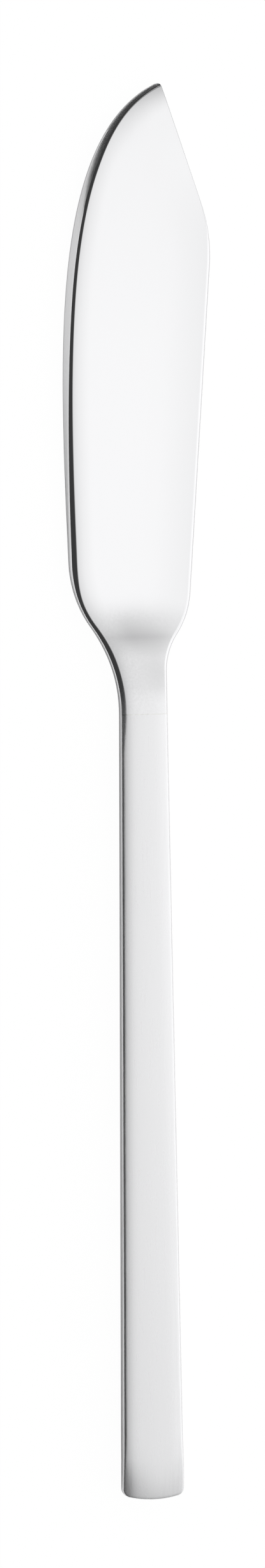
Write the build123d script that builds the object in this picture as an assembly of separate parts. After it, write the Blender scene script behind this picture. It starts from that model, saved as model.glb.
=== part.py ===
from build123d import *
import math
import os

# A fish knife with a hollow handle, lying flat on a table. Sizes are in millimetres and degrees.
# +Y runs to the tip, +X to the straight back of the blade, +Z up.
# The origin is on the table, under the middle of the handle.

# Handle, from its mouth at the neck to its butt
handle_length = 115.8
neck_width = 7.15
butt_width = 9.3
neck_thickness = 3.9
butt_thickness = 4.5
butt_bulge = 0.4
butt_round = 0.5
edge_radius = 0.6

# Pressed half shells and the cement inside them
shell_wall = 0.6
cavity_round = 0.25
filler_gap = 0.04

# Joint between neck and handle
braze_thickness = 0.15
spigot_length = 4.0
spigot_fit = 0.06
tang_length = 46.0
tang_width = 3.4
tang_thickness = 1.4
tang_taper = 0.9
notch_radius = 0.5
notch_pitch = 10.0
notch_count = 3

# Blade: a reach is the distance from the handle's mouth, a side is the distance from the middle line
blade_reach = 92.2
blade_thickness = 2.3
blade_lift = 0.75
tip_side = 3.14
tip_round = 0.05

# Straight back of the blade, on the right: neck, shoulder, corner and the run to the tip
back_neck_reach = 6.4
back_neck_pull = 2.9
back_shoulder_reach = 17.7
back_shoulder_side = 7.37
back_corner_reach = 69.9
back_corner_side = 11.14
back_corner_radius = 22.5

# Curved edge of the blade, on the left, with a bevel on its upper side
edge_neck_reach = 0.3
edge_neck_pull = 6.9
belly_reach = 22.4
belly_side = 10.7
belly_lean = 1.8
belly_lower_pull = 29.9
belly_upper_pull = 17.7
belly_tip_lean = 63.8
bevel_drop = 1.3
bevel_angle = 60.0

# Ramp from the blade's faces to the thickness of the neck, whose top falls a little on the way from the mouth
neck_fall = 0.3
ramp_reach = 8.3
ramp_length = 9.5
ramp_pull = 1.55

# Places that the pieces share
mouth_y = handle_length / 2
butt_y = -handle_length / 2
shoulder_y = mouth_y + braze_thickness
neck_middle = neck_thickness / 2
butt_middle = butt_thickness / 2
tip_radius = edge_radius + tip_round
butt_corner_radius = edge_radius + butt_round
cavity_corner_radius = cavity_round + butt_round
overrun = 2.0


def two_arcs(start, heading, pull, end, end_heading):
    """Return two tangent arcs that leave start along heading and reach end along end_heading."""
    span = end - start
    end_pull = (span.dot(span) / 2 - pull * span.dot(heading)) / (
        span.dot(end_heading) + pull * (1 - heading.dot(end_heading)))
    first = start + heading * pull
    last = end - end_heading * end_pull
    joint = first + (last - first) * (pull / (pull + end_pull))
    return [TangentArc(start, joint, tangent=heading), TangentArc(joint, end, tangent=last - first)]


def heading_of(lean):
    """Return the direction that leans to the right of +Y by this angle."""
    return Vector(0, 1).rotate(Axis.Z, -lean)


def blade_outline(inset):
    """Return the plan of the blade and neck, with the curved edge drawn in by inset."""
    half_neck = neck_width / 2
    forward = heading_of(0)

    # The run to the tip touches the small circle that rounds the tip.
    back_corner = Vector(back_corner_side, mouth_y + back_corner_reach)
    centre = Vector(tip_side, mouth_y + blade_reach - tip_radius)
    away = centre - back_corner
    swing = math.degrees(math.asin(tip_radius / away.length))
    run = away.normalized().rotate(Axis.Z, -swing)
    centre = centre - run * inset
    tip_back = centre + run.rotate(Axis.Z, -90) * tip_radius
    tip_heading = heading_of(belly_tip_lean)
    tip_edge = centre + tip_heading.rotate(Axis.Z, 90) * tip_radius
    tip_top = centre + (tip_edge + tip_back - centre * 2).normalized() * tip_radius

    back_neck = Vector(half_neck, mouth_y + back_neck_reach)
    back_shoulder = Vector(back_shoulder_side, mouth_y + back_shoulder_reach)
    back_heading = (back_corner - back_shoulder).normalized()
    edge_neck = Vector(-half_neck, mouth_y + edge_neck_reach)
    belly = Vector(-belly_side + inset, mouth_y + belly_reach)
    belly_heading = heading_of(-belly_lean)

    lines = [Line((half_neck, shoulder_y), back_neck)]
    lines += two_arcs(back_neck, forward, back_neck_pull, back_shoulder, back_heading)
    lines += FilletPolyline(back_shoulder, back_corner, tip_back, radius=back_corner_radius).edges()
    lines.append(ThreePointArc(tip_back, tip_top, tip_edge))
    lines.append(Bezier(
        tip_edge,
        tip_edge - tip_heading * belly_upper_pull,
        belly + belly_heading * belly_lower_pull,
        belly,
    ))
    lines += two_arcs(edge_neck, forward, edge_neck_pull, belly, belly_heading)
    lines.append(Line(edge_neck, (-half_neck, shoulder_y)))
    lines.append(Line((-half_neck, shoulder_y), (half_neck, shoulder_y)))
    return make_face(lines)


def blade_profile():
    """Return the side view of the blade and neck, with a ramp on each face, as a slab wider than the blade."""
    crest_y = mouth_y + ramp_reach
    foot_y = crest_y + ramp_length
    end_y = mouth_y + blade_reach + overrun
    forward = Vector(1, 0)
    lines = []
    for neck_z, crest_z, blade_z in (
        (neck_thickness, neck_thickness - neck_fall, blade_lift + blade_thickness),
        (0, 0, blade_lift),
    ):
        shoulder = Vector(shoulder_y, neck_z)
        crest = Vector(crest_y, crest_z)
        foot = Vector(foot_y, blade_z)
        lines.append(Line(shoulder, crest))
        lines += two_arcs(crest, (crest - shoulder).normalized(), ramp_pull, foot, forward)
        lines.append(Line(foot, (end_y, blade_z)))
    lines.append(Line((end_y, blade_lift), (end_y, blade_lift + blade_thickness)))
    lines.append(Line((shoulder_y, 0), (shoulder_y, neck_thickness)))
    reach = belly_side + back_corner_side + overrun
    return extrude(Plane.YZ * make_face(lines), amount=reach, both=True)


def rim_edges(solid, flat_end_y):
    """Return the edges round the upper and lower faces, except those of the flat end at flat_end_y."""
    found = []
    for sign in (1, -1):
        faces = [face for face in solid.faces() if face.normal_at().Z * sign > 0.9]
        edges = [edge for face in faces for edge in face.edges()]
        rim = [edge for edge in edges if edges.count(edge) == 1]
        found += [edge for edge in rim if abs((edge @ 0.5).Y - flat_end_y) > 0.001]
    return found


def tang_form(grow):
    """Return the notched tang, thicker by grow on every side."""
    root_y = mouth_y - spigot_length
    end_y = root_y - tang_length - grow
    half_root = tang_width / 2 + grow
    half_end = tang_width / 2 - tang_taper + grow
    plan = make_face(Polyline(
        (half_root, root_y + spigot_length / 2),
        (half_root, root_y),
        (half_end, end_y),
        (-half_end, end_y),
        (-half_root, root_y),
        (-half_root, root_y + spigot_length / 2),
        close=True,
    ))
    tang = extrude(Pos(0, 0, neck_middle) * plan, amount=tang_thickness / 2 + grow, both=True)
    for index in range(notch_count):
        fall = notch_pitch * (index + 1)
        side = tang_width / 2 - tang_taper * fall / tang_length + grow
        notch = Cylinder(notch_radius - grow, neck_thickness)
        tang -= Pos(side, root_y - fall, neck_middle) * notch
        tang -= Pos(-side, root_y - fall, neck_middle) * notch
    return tang


def blade_form():
    """Return the blade, neck, spigot and tang as one forging."""
    land = blade_lift + blade_thickness - bevel_drop
    inset = (neck_thickness - land) / math.tan(math.radians(bevel_angle))
    outline = blade_outline(0)
    drawn_in = blade_outline(inset)
    blank = loft([outline, Pos(0, 0, land) * outline, Pos(0, 0, neck_thickness) * drawn_in], ruled=True)
    blank = blank & blade_profile()
    blank = fillet(rim_edges(blank, shoulder_y), edge_radius)

    spigot_inset = shell_wall + spigot_fit
    section = RectangleRounded(neck_width - 2 * spigot_inset, neck_thickness - 2 * spigot_inset, cavity_round)
    spigot = extrude(Plane.XZ * section, amount=spigot_length + braze_thickness)
    return blank + Pos(0, shoulder_y, neck_middle) * spigot + tang_form(0)


def handle_form(inset, near_y, corner_radius, rim_radius):
    """Return the handle's form drawn in by inset on every side, from its flat end at near_y to the butt."""
    side_slope = (butt_width - neck_width) / 2 / handle_length
    top_slope = (butt_thickness - neck_thickness) / handle_length
    half_near = neck_width / 2 - inset + side_slope * (mouth_y - near_y)
    half_butt = butt_width / 2 - inset
    top_near = neck_thickness - inset + top_slope * (mouth_y - near_y)
    top_butt = butt_thickness - inset
    end_y = butt_y + inset

    left = Line((-half_near, near_y), (-half_butt, end_y + butt_bulge))
    butt = ThreePointArc((-half_butt, end_y + butt_bulge), (0, end_y), (half_butt, end_y + butt_bulge))
    right = Line((half_butt, end_y + butt_bulge), (half_near, near_y))
    near = Line((half_near, near_y), (-half_near, near_y))
    plan = make_face([left, butt, right, near])
    plan = fillet(plan.vertices().sort_by(Axis.Y)[:2], corner_radius)
    side = make_face(Polyline((near_y, inset), (near_y, top_near), (end_y, top_butt), (end_y, inset), close=True))

    form = extrude(plan, amount=butt_thickness + neck_thickness)
    form = form & extrude(Plane.YZ * side, amount=butt_width + neck_width, both=True)
    return fillet(rim_edges(form, near_y), rim_radius)


def handle_half(shell, sign):
    """Return the part of the shell above (sign 1) or below (sign -1) the weld seam."""
    slope = (butt_middle - neck_middle) / handle_length
    near = Vector(mouth_y + overrun, neck_middle - slope * overrun)
    far = Vector(butt_y - overrun, butt_middle + slope * overrun)
    lift = Vector(0, sign * (butt_thickness + neck_thickness))
    half = make_face(Polyline(near, far, far + lift, near + lift, close=True))
    return shell & extrude(Plane.YZ * half, amount=butt_width + neck_width, both=True)


def braze_form():
    """Return the film of braze between the neck's shoulder and the rim of the handle's mouth."""
    section = RectangleRounded(neck_width, neck_thickness, edge_radius)
    section -= RectangleRounded(neck_width - 2 * shell_wall, neck_thickness - 2 * shell_wall, cavity_round)
    return Pos(0, shoulder_y, neck_middle) * extrude(Plane.XZ * section, amount=braze_thickness)


shell = handle_form(0, mouth_y, butt_corner_radius, edge_radius)
shell -= handle_form(shell_wall, mouth_y + overrun, cavity_corner_radius, cavity_round)
filler = handle_form(shell_wall + filler_gap, mouth_y - spigot_length - filler_gap, cavity_corner_radius, cavity_round)

nodes = {
    "blade": blade_form(),
    "handle_top_shell": handle_half(shell, 1),
    "handle_bottom_shell": handle_half(shell, -1),
    "handle_filler": filler - tang_form(filler_gap),
    "braze_ring": braze_form(),
}

os.makedirs("parts", exist_ok=True)
for name, solid in nodes.items():
    export_step(solid, os.path.join("parts", name + ".step"))
    size = solid.bounding_box().size
    print(name, len(solid.solids()), "solid", round(solid.volume, 1), "mm3", [round(value, 2) for value in size])
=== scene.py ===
import math

import bmesh
import bpy
import numpy as np
from bpy.props import FloatProperty, FloatVectorProperty, PointerProperty
from mathutils import Matrix, Vector


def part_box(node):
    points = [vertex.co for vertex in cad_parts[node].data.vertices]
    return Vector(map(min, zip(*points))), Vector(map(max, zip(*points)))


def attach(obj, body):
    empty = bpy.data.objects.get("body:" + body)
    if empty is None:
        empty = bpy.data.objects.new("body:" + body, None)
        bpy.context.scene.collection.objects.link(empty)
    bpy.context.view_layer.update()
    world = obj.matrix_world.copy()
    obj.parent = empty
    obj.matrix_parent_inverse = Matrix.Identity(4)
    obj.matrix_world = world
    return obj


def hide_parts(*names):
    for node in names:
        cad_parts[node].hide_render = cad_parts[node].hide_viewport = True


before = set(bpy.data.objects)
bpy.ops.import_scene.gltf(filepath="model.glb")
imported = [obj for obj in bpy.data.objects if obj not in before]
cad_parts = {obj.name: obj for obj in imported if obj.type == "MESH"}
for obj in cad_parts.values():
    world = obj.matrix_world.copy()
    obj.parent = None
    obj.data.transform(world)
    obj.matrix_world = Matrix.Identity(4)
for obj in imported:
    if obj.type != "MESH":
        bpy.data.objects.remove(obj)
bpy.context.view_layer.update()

bl_info = {
    "name": "Fish knife",
    "version": (1, 0, 0),
    "blender": (4, 5, 0),
    "location": "View3D > Sidebar > Fish knife",
    "description": "Builds a hollow-handle steel fish knife round its CAD model, and a plain studio for it",
    "category": "Object",
}

# Lengths are in metres in the frame of the CAD model: +Y to the tip, +X to the back of the blade, +Z up.
MM = 0.001
BODY = "root"
NOTCH_COUNT = 3

# Places and sizes that the CAD model gives
shell_low, shell_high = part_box("handle_top_shell")
braze_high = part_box("braze_ring")[1]
blade_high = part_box("blade")[1]
MOUTH_Y = shell_high.y
BUTT_Y = shell_low.y
SHOULDER_Y = braze_high.y
TIP_Y = blade_high.y
NECK_HALF = braze_high.x
NECK_TOP = braze_high.z
BUTT_HALF = shell_high.x
BUTT_TOP = shell_high.z

# Reaches from the mouth, in millimetres, between which sizes along the blade ease from one to the next
DROP_REACHES = (12, 40)
LOW_REACHES = (4, 18)
BACK_ROUND_REACHES = (4, 18, 66, 76)
BACK_SQUASH_REACHES = (0, 12)
EDGE_ROUND_REACHES = (8, 15.5, 22, 60)
EDGE_SQUASH_REACHES = (14, 24)
TIP_BEVEL_REACHES = (80, 92)
TIP_BACK_REACHES = (76, 88)
NECK_STRIP_REACHES = (1, 13)
BACK_STRIP_REACHES = (66, 84)
TIP_STRIP_REACHES = (70, 90)

# Distances from the butt and the mouth within which the handle's upper edges change
BUTT_RANGE = (2 * MM, 10 * MM)
MOUTH_RANGE = 6 * MM

# Columns of points across a face, the underside, the bevel, the round above it and the quarter round below
FACE_COLUMNS = 25
UNDER_COLUMNS = 9
BEVEL_COLUMNS = 12
ROUND_COLUMNS = 15
QUARTER_COLUMNS = 9
QUARTER_TURN = np.linspace(0, math.pi / 2, QUARTER_COLUMNS)

# Brushing: the map whose U runs across it and V along it, how much it smears reflections, and how far it runs
# from the mouth on the neck's top and on the neck's edges
BRUSHING_MAP = "Brushing"
BRUSHED = 0.75
BRUSHED_TOP = 8 * MM
BRUSHED_EDGES = 7 * MM

# How far before and after the ramp's foot the satin changes to a mirror
SATIN_BEFORE = 5 * MM
SATIN_AFTER = 2 * MM


def linear(hex_colour):
    """Return the linear colour, with full alpha, of an sRGB hex value such as C8C8C6."""
    channels = [int(hex_colour[start:start + 2], 16) / 255 for start in (0, 2, 4)]
    return [c / 12.92 if c <= 0.04045 else ((c + 0.055) / 1.055) ** 2.4 for c in channels] + [1.0]


def length(name, description, millimetres):
    """Return a length property whose default is given in millimetres."""
    return FloatProperty(
        name=name, description=description, default=millimetres * MM,
        unit="LENGTH", subtype="DISTANCE", precision=5)


def angle(name, description, degrees):
    """Return an angle property whose default is given in degrees."""
    return FloatProperty(
        name=name, description=description, default=math.radians(degrees), unit="ROTATION", subtype="ANGLE")


def colour(name, description, hex_colour):
    """Return a colour property whose default is given as an sRGB hex value."""
    return FloatVectorProperty(
        name=name, description=description, default=linear(hex_colour),
        subtype="COLOR", size=4, min=0.0, max=1.0)


def share_of(name, description, share):
    """Return a plain number property, such as a share of a size."""
    return FloatProperty(name=name, description=description, default=share)


class BladeSizes(bpy.types.PropertyGroup):
    """Sizes of the blade. A reach is measured from the handle's mouth, a side from the middle line"""

    tip_side: length("Tip side", "How far right of the middle line the tip is", 3.14)
    tip_radius: length("Tip radius", "Radius of the tip in plan", 0.65)
    back_neck_reach: length("Back neck reach", "Where the back leaves the straight neck", 6.4)
    back_neck_pull: length("Back neck pull", "Tangent length of the hollow of the back's flare", 2.9)
    back_shoulder_reach: length("Back shoulder reach", "Where the flare meets the straight back", 17.7)
    back_shoulder_side: length("Back shoulder side", "How far out the straight back starts", 7.37)
    back_corner_reach: length("Back corner reach", "Where the back turns to the tip", 69.9)
    back_corner_side: length("Back corner side", "How far out the back's corner is", 11.14)
    back_corner_radius: length("Back corner radius", "Radius that rounds the back's corner", 22.5)
    edge_neck_reach: length("Edge neck reach", "Where the curved edge leaves the straight neck", 0.3)
    edge_neck_pull: length("Edge neck pull", "Tangent length of the hollow of the edge's flare", 6.9)
    belly_reach: length("Belly reach", "Where the flare meets the belly of the curved edge", 22.4)
    belly_side: length("Belly side", "How far out the belly starts", 10.7)
    belly_lean: angle("Belly lean", "How much the belly leans outwards where it starts", 1.8)
    belly_lower_pull: length("Belly lower pull", "Handle length of the belly's curve at its start", 29.9)
    belly_upper_pull: length("Belly upper pull", "Handle length of the belly's curve at the tip", 17.7)
    belly_tip_lean: angle("Belly tip lean", "How much the curved edge leans inwards at the tip", 63.8)
    thickness: length("Blade thickness", "Thickness of the flat blade", 2.3)
    lift: length("Blade lift", "Height of the blade's underside over the table", 0.75)
    neck_fall: length("Neck fall", "How much the neck's top falls from the mouth to the ramp", 0.3)
    neck_ease: length("Neck ease", "Reach up to which the neck's top bends into that fall", 4.0)
    ramp_reach: length("Ramp reach", "Where the ramp down to the blade starts", 8.3)
    ramp_length: length("Ramp length", "Length of the ramp", 9.5)
    ramp_pull: length("Ramp pull", "Tangent length of the ramp's upper arc", 1.55)
    bevel_drop: length("Bevel drop", "Depth of the bevel's lower edge under the face", 1.45)
    bevel_angle: angle("Bevel angle", "Slope of the bevel on the curved edge", 61.0)
    bevel_fade: length("Bevel fade", "Reach at which the bevel has grown upright towards the neck", 14.0)
    bevel_full: length("Bevel full", "Reach from which the bevel has its full slope", 60.0)
    tip_bevel_drop: length("Tip bevel drop", "Depth of the bevel's lower edge at the tip", 0.7)
    tip_bevel_angle: angle("Tip bevel angle", "Slope of the bevel at the tip", 40.0)
    tip_bevel_bow: angle("Tip bevel bow", "How much steeper the bevel is at its outer edge at the tip", 7.0)
    tip_bevel_share: share_of("Tip bevel share", "Share of that depth that is left at the very tip", 0.6)
    tip_bevel_start: length("Tip bevel start", "Reach from which the bevel eases towards the tip", 58.0)
    tip_bevel_end: length("Tip bevel end", "Reach from which the bevel has its form at the tip", 95.0)
    edge_round: length("Edge round", "Radius between bevel and face", 0.65)
    tip_edge_round: length("Tip edge round", "Radius between bevel and face at the tip", 0.45)
    neck_round: length("Neck round", "Width of the round on the neck's left upper edge", 0.82)
    neck_squash: share_of("Neck squash", "Height of that round as a share of its width", 0.62)
    flare_round: length("Flare round", "Width of that round in the flare", 0.62)
    belly_round: length("Belly round", "Width of that round where the belly starts", 1.0)
    back_round: length("Back round", "Radius of the back's upper edge", 0.6)
    run_round: length("Run round", "Radius of the back's upper edge on its run to the tip", 0.1)
    low_round: length("Low round", "How far in the blade's rounded lower edges reach", 0.5)
    low_share: share_of("Low share", "Share of the side under the bevel that the lower round takes up", 0.6)
    rolloff_width: length("Roll-off width", "Width of the strip rounded off along the curved edge", 4.0)
    rolloff_angle: angle("Roll-off angle", "Slope of that strip at the curved edge", 6.2)
    tip_rolloff_share: share_of("Tip roll-off share", "Share of that slope that is left at the tip", 0.35)
    back_rolloff_width: length("Back roll-off width", "Width of the strip rounded off along the back", 7.0)
    back_rolloff_angle: angle("Back roll-off angle", "Slope of that strip at the back", 2.8)


class HandleSizes(bpy.types.PropertyGroup):
    """Sizes of the handle"""

    edge_round: length("Edge round", "Radius of the handle's left upper edge", 0.42)
    back_round: length("Back round", "Width of the round on the handle's right upper edge", 0.5)
    back_height: length("Back height", "Height of that round", 0.9)
    low_depth: length("Low depth", "How far in the handle's rounded lower edges reach at the mouth", 1.6)
    side_drop: length("Side drop", "Depth under the top at which the handle is widest", 1.0)
    butt_corner: length("Butt corner", "Radius of the butt's corners in plan", 1.2)
    butt_round: length("Butt round", "Radius of the upper edges round the butt", 0.22)
    butt_drop: length("Butt drop", "Depth under the top at which the butt is widest", 0.5)
    cavity_round: length("Cavity round", "Radius of the edges inside the shells", 0.3)
    wall: length("Wall", "Thickness of the pressed shells", 0.6)
    butt_bulge: length("Butt bulge", "How far the middle of the butt stands out", 0.4)
    rolloff_width: length("Roll-off width", "Width of the strips rounded off along the sides", 2.6)
    rolloff_angle: angle("Roll-off angle", "Slope of those strips at the edges", 9.5)
    butt_rolloff_width: length("Butt roll-off width", "Length of the top that falls off to the butt", 8.0)
    butt_rolloff_angle: angle("Butt roll-off angle", "Slope of that fall at the butt", 9.0)
    crown: length("Crown", "How much lower the top's long edges are than its middle", 0.08)
    butt_crown: length("Butt crown", "The same at the butt", 0.4)
    crown_keep: length("Crown keep", "Reach up to which the neck keeps the crown", 10.0)
    crown_fade: length("Crown fade", "Reach at which the crown has faded out on the ramp", 20.0)


class TangSizes(bpy.types.PropertyGroup):
    """Sizes of the spigot and tang inside the handle"""

    spigot_length: length("Spigot length", "How far the spigot reaches into the mouth", 4.0)
    spigot_fit: length("Spigot fit", "Gap between spigot and shells", 0.06)
    tang_length: length("Tang length", "Length of the tang behind the spigot", 46.0)
    tang_width: length("Tang width", "Width of the tang at its root", 3.4)
    tang_thickness: length("Tang thickness", "Thickness of the tang", 1.4)
    tang_taper: length("Tang taper", "How much each side of the tang draws in to its end", 0.9)
    notch_radius: length("Notch radius", "Radius of the notches in the tang's sides", 0.5)
    notch_pitch: length("Notch pitch", "Distance from notch to notch", 10.0)


class FinishColours(bpy.types.PropertyGroup):
    """Colours of the finishes"""

    steel: colour("Stainless steel", "Reflection colour of polished stainless steel", "D1D1D2")
    satin: colour("Satin steel", "Reflection colour of brushed stainless steel", "D3D3D4")
    braze: colour("Silver braze", "Reflection colour of silver braze", "CDCDCB")
    cement: colour("Cutler's cement", "Colour of the cement in the handle", "5C554A")


class StudioSizes(bpy.types.PropertyGroup):
    """Sizes of the camera and the studio"""

    lean_side: angle("Lean to the edge", "How far the camera leans to the curved edge", 13.0)
    lean_tip: angle("Lean to the tip", "How far the camera leans to the tip", 4.0)
    turn: angle("Turn", "How far the knife leans left in the picture", 0.65)
    distance: length("Distance", "Distance from camera to knife", 1300)
    view_height: length("View height", "Length that fills the picture's height at the knife", 230.0)
    aim_y: length("Aim along", "Place on the knife's length at the middle of the picture", 47.68)
    aim_side: length("Aim side", "How far left of the knife's middle line the picture's middle is", 1.6)
    tent_radius: length("Tent radius", "Radius of the light tent over the knife", 1600)
    floor_half: length("Floor half width", "Half the width of the floor", 9000)
    tent_light: share_of("Tent light", "Brightness of the tent's white cloth", 1.475)


def unit(vectors):
    """Return a vector, or each one of a list of them, at length 1."""
    return vectors / np.linalg.norm(vectors, axis=-1, keepdims=True)


def left_of(direction):
    """Return the direction in plan that is square to this one, on its left."""
    return np.array([-direction[1], direction[0]])


def plan_angle(direction):
    """Return the angle of a direction in plan, from +X."""
    return math.atan2(direction[1], direction[0])


def directions(angles):
    """Return the directions in plan at these angles from +X."""
    return np.stack([np.cos(angles), np.sin(angles)], axis=1)


def heading(lean):
    """Return the direction in plan that leans to the right of +Y by this angle."""
    return np.array([math.sin(lean), math.cos(lean)])


def arc(start, direction, end, count=200):
    """Return points on the arc that leaves start along direction and reaches end."""
    chord = end - start
    side = left_of(direction)
    turn = 2 * math.atan2(chord @ side, chord @ direction)
    shares = np.linspace(0, 1, count)
    if abs(turn) < 1e-9:
        return start + shares[:, None] * chord
    radius = (chord @ chord) / (2 * (chord @ side))
    sweep = shares * turn
    forward = radius * np.sin(sweep)
    across = radius * (1 - np.cos(sweep))
    return start + forward[:, None] * direction + across[:, None] * side


def two_arcs(start, direction, pull, end, end_direction):
    """Return points on two tangent arcs from start, along direction, to end, along end_direction."""
    span = end - start
    end_pull = (span @ span / 2 - pull * (span @ direction)) / (
        span @ end_direction + pull * (1 - direction @ end_direction))
    first = start + direction * pull
    last = end - end_direction * end_pull
    joint = first + (last - first) * (pull / (pull + end_pull))
    return np.vstack([arc(start, direction, joint), arc(joint, unit(last - first), end)[1:]])


def cubic(points, count=1200):
    """Return points on the cubic curve of four control points."""
    t = np.linspace(0, 1, count)[:, None]
    a, b, c, d = points
    return (1 - t) ** 3 * a + 3 * (1 - t) ** 2 * t * b + 3 * (1 - t) * t ** 2 * c + t ** 3 * d


def smooth_step(low, high, value):
    """Return 0 below low, 1 above high and a smooth rise between them."""
    share = np.clip((value - low) / (high - low), 0, 1)
    return share * share * (3 - 2 * share)


def blend(first, second, share):
    """Return what lies between first and second, at this share of the way."""
    return first + (second - first) * share


def eased(reach, reaches, sizes):
    """Return a size that eases from each of the sizes to the next, between reaches in millimetres."""
    value = np.full_like(reach, sizes[0])
    for start, end, before, after in zip(reaches, reaches[1:], sizes, sizes[1:]):
        value = value + (after - before) * smooth_step(start * MM, end * MM, reach)
    return value


class Skin:
    """Collects grids of points, each with a finish, and makes one mesh of them."""

    def __init__(self):
        self.points = []
        self.across = []
        self.faces = []
        self.finishes = []

    def add_grid(self, grid, finish=0):
        """Add a grid of points, indexed by row and column. The finish may differ from column to column."""
        rows, columns = grid.shape[:2]
        start = len(self.points)
        self.points.extend(grid.reshape(-1, 3).tolist())
        steps = np.linalg.norm(np.diff(grid, axis=1), axis=2)
        across = np.hstack([np.zeros((rows, 1)), np.cumsum(steps, axis=1)])
        self.across.extend(across.ravel().tolist())
        finish_of = np.broadcast_to(finish, columns - 1)
        for row in range(rows - 1):
            for column in range(columns - 1):
                corner = start + row * columns + column
                self.faces.append((corner, corner + 1, corner + columns + 1, corner + columns))
                self.finishes.append(int(finish_of[column]))

    def make_object(self, name, materials, sharp=math.radians(40)):
        """Return a new object of the grids, welded where they meet, closed, with faces turned outwards."""
        mesh = bpy.data.meshes.new(name)
        mesh.from_pydata(self.points, [], self.faces)
        mesh.polygons.foreach_set("material_index", self.finishes)
        layer = mesh.uv_layers.new(name=BRUSHING_MAP)
        for loop in mesh.loops:
            layer.data[loop.index].uv = (self.across[loop.vertex_index], self.points[loop.vertex_index][1])
        weld = 0.0001 * MM
        work = bmesh.new()
        work.from_mesh(mesh)
        bmesh.ops.remove_doubles(work, verts=work.verts, dist=weld)
        bmesh.ops.dissolve_degenerate(work, edges=work.edges, dist=weld)
        bmesh.ops.holes_fill(work, edges=[edge for edge in work.edges if edge.is_boundary], sides=0)
        bmesh.ops.recalc_face_normals(work, faces=work.faces)
        work.to_mesh(mesh)
        work.free()
        mesh.shade_smooth()
        mesh.set_sharp_from_angle(angle=sharp)
        for material in materials:
            mesh.materials.append(material)
        made = bpy.data.objects.new(name, mesh)
        bpy.context.scene.collection.objects.link(made)
        return made


def add_node(tree, kind, settings=None, **links):
    """Add a node, give its properties and inputs the settings, and link inputs to other nodes.

    A link's key is the input's name with _ for a space, or input_ and its number. A link is a node, whose
    first output is taken, or a node and one of its outputs.
    """
    node = tree.nodes.new(kind)
    for key, value in (settings or {}).items():
        if isinstance(key, str) and hasattr(node, key):
            setattr(node, key, value)
        else:
            node.inputs[key].default_value = value
    for key, source in links.items():
        place = int(key[6:]) if key.startswith("input_") else key.replace("_", " ")
        source, output = source if isinstance(source, tuple) else (source, 0)
        tree.links.new(source.outputs[output], node.inputs[place])
    return node


def finish_of(look):
    """Return the material with this look, which is named after it and made only once."""
    material = bpy.data.materials.get(look.__name__)
    if material is None:
        material = bpy.data.materials.new(look.__name__)
        material.use_nodes = True
        tree = material.node_tree
        tree.nodes.clear()
        add_node(tree, "ShaderNodeOutputMaterial", None, Surface=look(tree))
    return material


def grained(tree, place, grain, rough, density=(1, 1, 1), detail=2.0, fine=0.5, span=(0.3, 0.7)):
    """Return noise with grains of this size, less dense along some axes, and the roughness it makes.

    Detail and fine are settings of the noise. Its values from one end of the span to the other give the
    roughness from the first value of rough to the second.
    """
    dense = add_node(
        tree, "ShaderNodeMapping", {"Scale": [share / grain for share in density]}, Vector=(place, "Object"))
    grains = add_node(
        tree, "ShaderNodeTexNoise", {"Scale": 1.0, "Detail": detail, "Roughness": fine}, Vector=dense)
    roughness = add_node(
        tree, "ShaderNodeMapRange",
        {"From Min": span[0], "From Max": span[1], "To Min": rough[0], "To Max": rough[1]}, Value=grains)
    return grains, roughness


def buffing_haze(tree, place):
    """Return the roughness that buffing leaves: hazy patches 6 mm across, drawn out along the blade."""
    return grained(tree, place, 6 * MM, (0.05, 0.085), density=(1, 0.4, 1), detail=3.0, fine=0.6)[1]


def stainless_steel_satin_neck_mirror_blade(tree):
    """Stainless steel, buffed to a mirror on the blade and left satin and grainy on the ramp and neck."""
    sizes = bpy.context.scene.fish_knife_blade
    place = add_node(tree, "ShaderNodeTexCoord")
    parts = add_node(tree, "ShaderNodeSeparateXYZ", None, Vector=(place, "Object"))
    # Satin grains are finer than 0.1 mm. They are drawn 0.25 mm wide, so that they show.
    satin = grained(tree, place, 0.25 * MM, (0.22, 0.26))[1]
    foot = MOUTH_Y + sizes.ramp_reach + sizes.ramp_length
    fade = add_node(
        tree, "ShaderNodeMapRange",
        {"interpolation_type": "SMOOTHSTEP", "From Min": foot - SATIN_BEFORE, "From Max": foot + SATIN_AFTER},
        Value=(parts, "Y"))
    rough = add_node(
        tree, "ShaderNodeMix", {"data_type": "FLOAT"}, Factor=fade, A=satin, B=buffing_haze(tree, place))
    # Close to the handle the neck is brushed along, as the handle is.
    brushing = add_node(
        tree, "ShaderNodeMapRange",
        {"interpolation_type": "SMOOTHSTEP", "From Min": MOUTH_Y, "From Max": MOUTH_Y + BRUSHED_TOP,
         "To Min": BRUSHED, "To Max": 0.0},
        Value=(parts, "Y"))
    tangent = add_node(tree, "ShaderNodeTangent", {"direction_type": "UV_MAP", "uv_map": BRUSHING_MAP})
    return add_node(
        tree, "ShaderNodeBsdfPrincipled",
        {"Base Color": bpy.context.scene.fish_knife_colours.steel, "Metallic": 1.0},
        Roughness=rough, Anisotropic=brushing, Tangent=tangent)


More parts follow.
